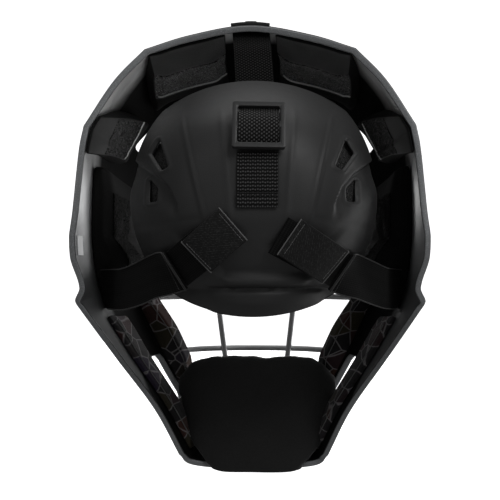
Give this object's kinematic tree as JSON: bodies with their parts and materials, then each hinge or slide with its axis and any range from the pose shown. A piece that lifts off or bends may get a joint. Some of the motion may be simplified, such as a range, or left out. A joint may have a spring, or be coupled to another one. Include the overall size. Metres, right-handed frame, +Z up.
{
  "type": "goalie mask",
  "caption": "Goalie mask with a moulded shell, wire cage, foam liner, chin pad and a hinged back plate held by a top strap and side elastics.",
  "frame": {"origin": "centre of the wearer's head, midway between the ear canals", "axes": "+Y the way the face looks, +X the wearer's right, +Z up"},
  "size_m": [0.2398, 0.2758, 0.3339],
  "materials": {
    "painted_shell": "satin gunmetal paint on moulded plastic",
    "black_foam_fabric": "black fabric over foam",
    "black_plush": "very black plush fabric over foam",
    "printed_fabric": "dark knit fabric with a fine facet print",
    "black_webbing": "woven nylon webbing",
    "black_elastic": "ribbed elastic",
    "plate_plastic": "matt dark grey moulded plastic",
    "cage_steel": "satin grey coated steel wire",
    "black_plastic": "satin black moulded plastic",
    "hardware_steel": "blackened steel",
    "label_film": "blank grey film"
  },
  "bodies": {
    "mask_shell": {"shell": "painted_shell", "chin_pad": "black_plush", "forehead_pad": "black_foam_fabric", "crown_pad_right": "black_foam_fabric", "crown_pad_left": "black_foam_fabric", "temple_pad_right": "black_foam_fabric", "temple_pad_left": "black_foam_fabric", "ear_pad_right": "black_foam_fabric", "ear_pad_left": "black_foam_fabric", "cheek_pad_right": "printed_fabric", "cheek_pad_left": "printed_fabric", "jaw_pad_right": "printed_fabric", "jaw_pad_left": "printed_fabric", "cage_rim_wire": "cage_steel", "cage_cross_wires": "cage_steel", "cage_uprights": "cage_steel", "cage_clips": "black_plastic", "clip_screws": "hardware_steel", "clip_nuts": "hardware_steel", "top_strap_anchor": "black_webbing", "top_strap_retainer": "black_plastic", "retainer_screws": "hardware_steel", "retainer_nuts": "hardware_steel", "blank_label": "label_film", "elastic_right": "black_elastic", "elastic_left": "black_elastic", "elastic_screws": "hardware_steel", "elastic_washers": "hardware_steel", "elastic_nuts": "hardware_steel"},
    "back_plate_body": {"back_plate": "plate_plastic", "back_plate_pad": "black_foam_fabric", "top_strap": "black_webbing", "top_strap_tail": "black_webbing", "loop_strap_right": "black_elastic", "loop_strap_left": "black_elastic", "strap_rivets": "hardware_steel"},
    "buckle": {"tri_glide": "black_plastic", "top_strap_loop": "black_webbing"},
    "tab_right": {"strap_tab_right": "black_webbing"},
    "tab_left": {"strap_tab_left": "black_webbing"}
  },
  "joints": [
    {"name": "back_plate_swing", "type": "hinge", "parent": "mask_shell", "child": "back_plate_body", "pos_m": [0, -0.0365, 0.145], "axis": [-1, 0, 0], "range_deg": [0, 40], "stiffness_Nm_per_rad": 1.5, "springref_deg": -11.46, "deforming": ["elastic_right", "elastic_left"]},
    {"name": "buckle_slide", "type": "slide", "parent": "back_plate_body", "child": "buckle", "axis": [0, 0.4082, 0.9129], "range_m": [-0.006, 0.006]},
    {"name": "tab_peel_right", "type": "hinge", "parent": "back_plate_body", "child": "tab_right", "pos_m": [0.02513, -0.11906, 0.00812], "axis": [-0.5681, 0.076, -0.8194], "range_deg": [0, 100]},
    {"name": "tab_peel_left", "type": "hinge", "parent": "back_plate_body", "child": "tab_left", "pos_m": [-0.00834, -0.12097, 0.01513], "axis": [-0.6143, -0.0345, 0.7883], "range_deg": [0, 100]}
  ]
}
